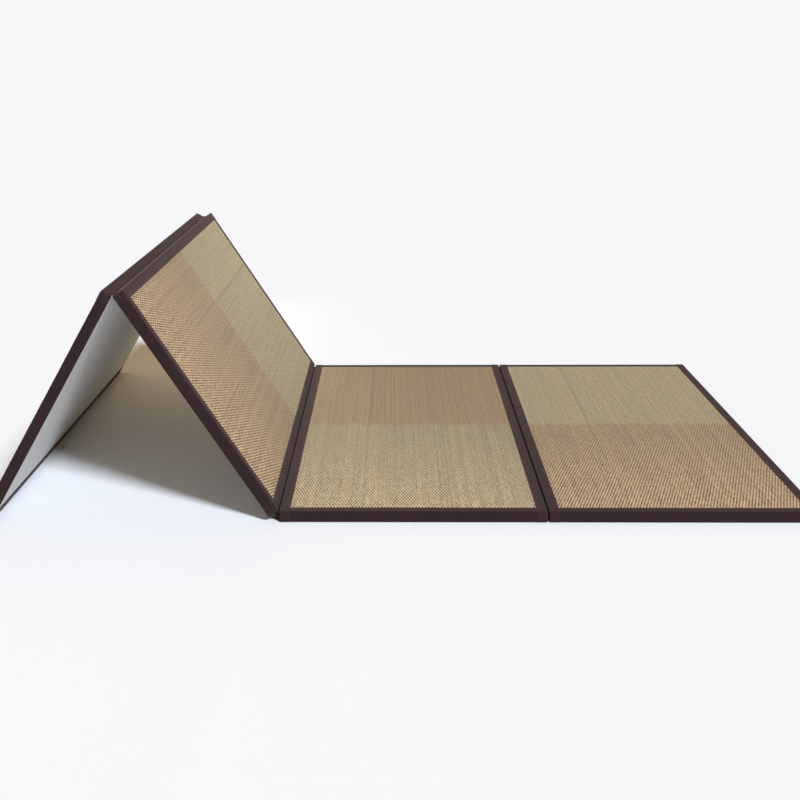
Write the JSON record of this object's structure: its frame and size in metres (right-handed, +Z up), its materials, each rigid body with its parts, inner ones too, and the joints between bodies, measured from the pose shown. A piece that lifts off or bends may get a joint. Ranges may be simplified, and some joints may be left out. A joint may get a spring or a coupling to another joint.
{
  "type": "folding tatami mat",
  "caption": "Folding tatami mat of stiff woven-rush panels with dark cloth binding, half unfolded: two panels lean as a tent, the rest lie flat.",
  "frame": {"origin": "middle of the whole outline, on the floor", "axes": "+X along the mat from its standing panels to its flat ones, +Y across the mat away from the near side, +Z up"},
  "size_m": [1.5558, 1, 0.4411],
  "materials": {
    "woven_rush": "woven rush stems in two tones, olive beige and warm tan, dry and slightly glossy",
    "binding_cloth": "dark brown plain-woven cloth binding, matt with a faint sheen",
    "backing_cloth": "plain off-white felted backing cloth, matt"
  },
  "bodies": {
    "root": {"panel_1_rush_board": "woven_rush", "panel_1_left_binding": "binding_cloth", "panel_1_right_binding": "binding_cloth", "panel_1_near_binding": "binding_cloth", "panel_1_far_binding": "binding_cloth", "panel_2_rush_board": "woven_rush", "panel_2_left_binding": "binding_cloth", "panel_2_right_binding": "binding_cloth", "panel_2_near_binding": "binding_cloth", "panel_2_far_binding": "binding_cloth", "panel_3_rush_board": "woven_rush", "panel_3_left_binding": "binding_cloth", "panel_3_right_binding": "binding_cloth", "panel_3_near_binding": "binding_cloth", "panel_3_far_binding": "binding_cloth", "panel_4_rush_board": "woven_rush", "panel_4_left_binding": "binding_cloth", "panel_4_right_binding": "binding_cloth", "panel_4_near_binding": "binding_cloth", "panel_4_far_binding": "binding_cloth", "backing_12": "backing_cloth", "backing_34": "backing_cloth", "hinge_23": "binding_cloth"}
  },
  "joints": []
}
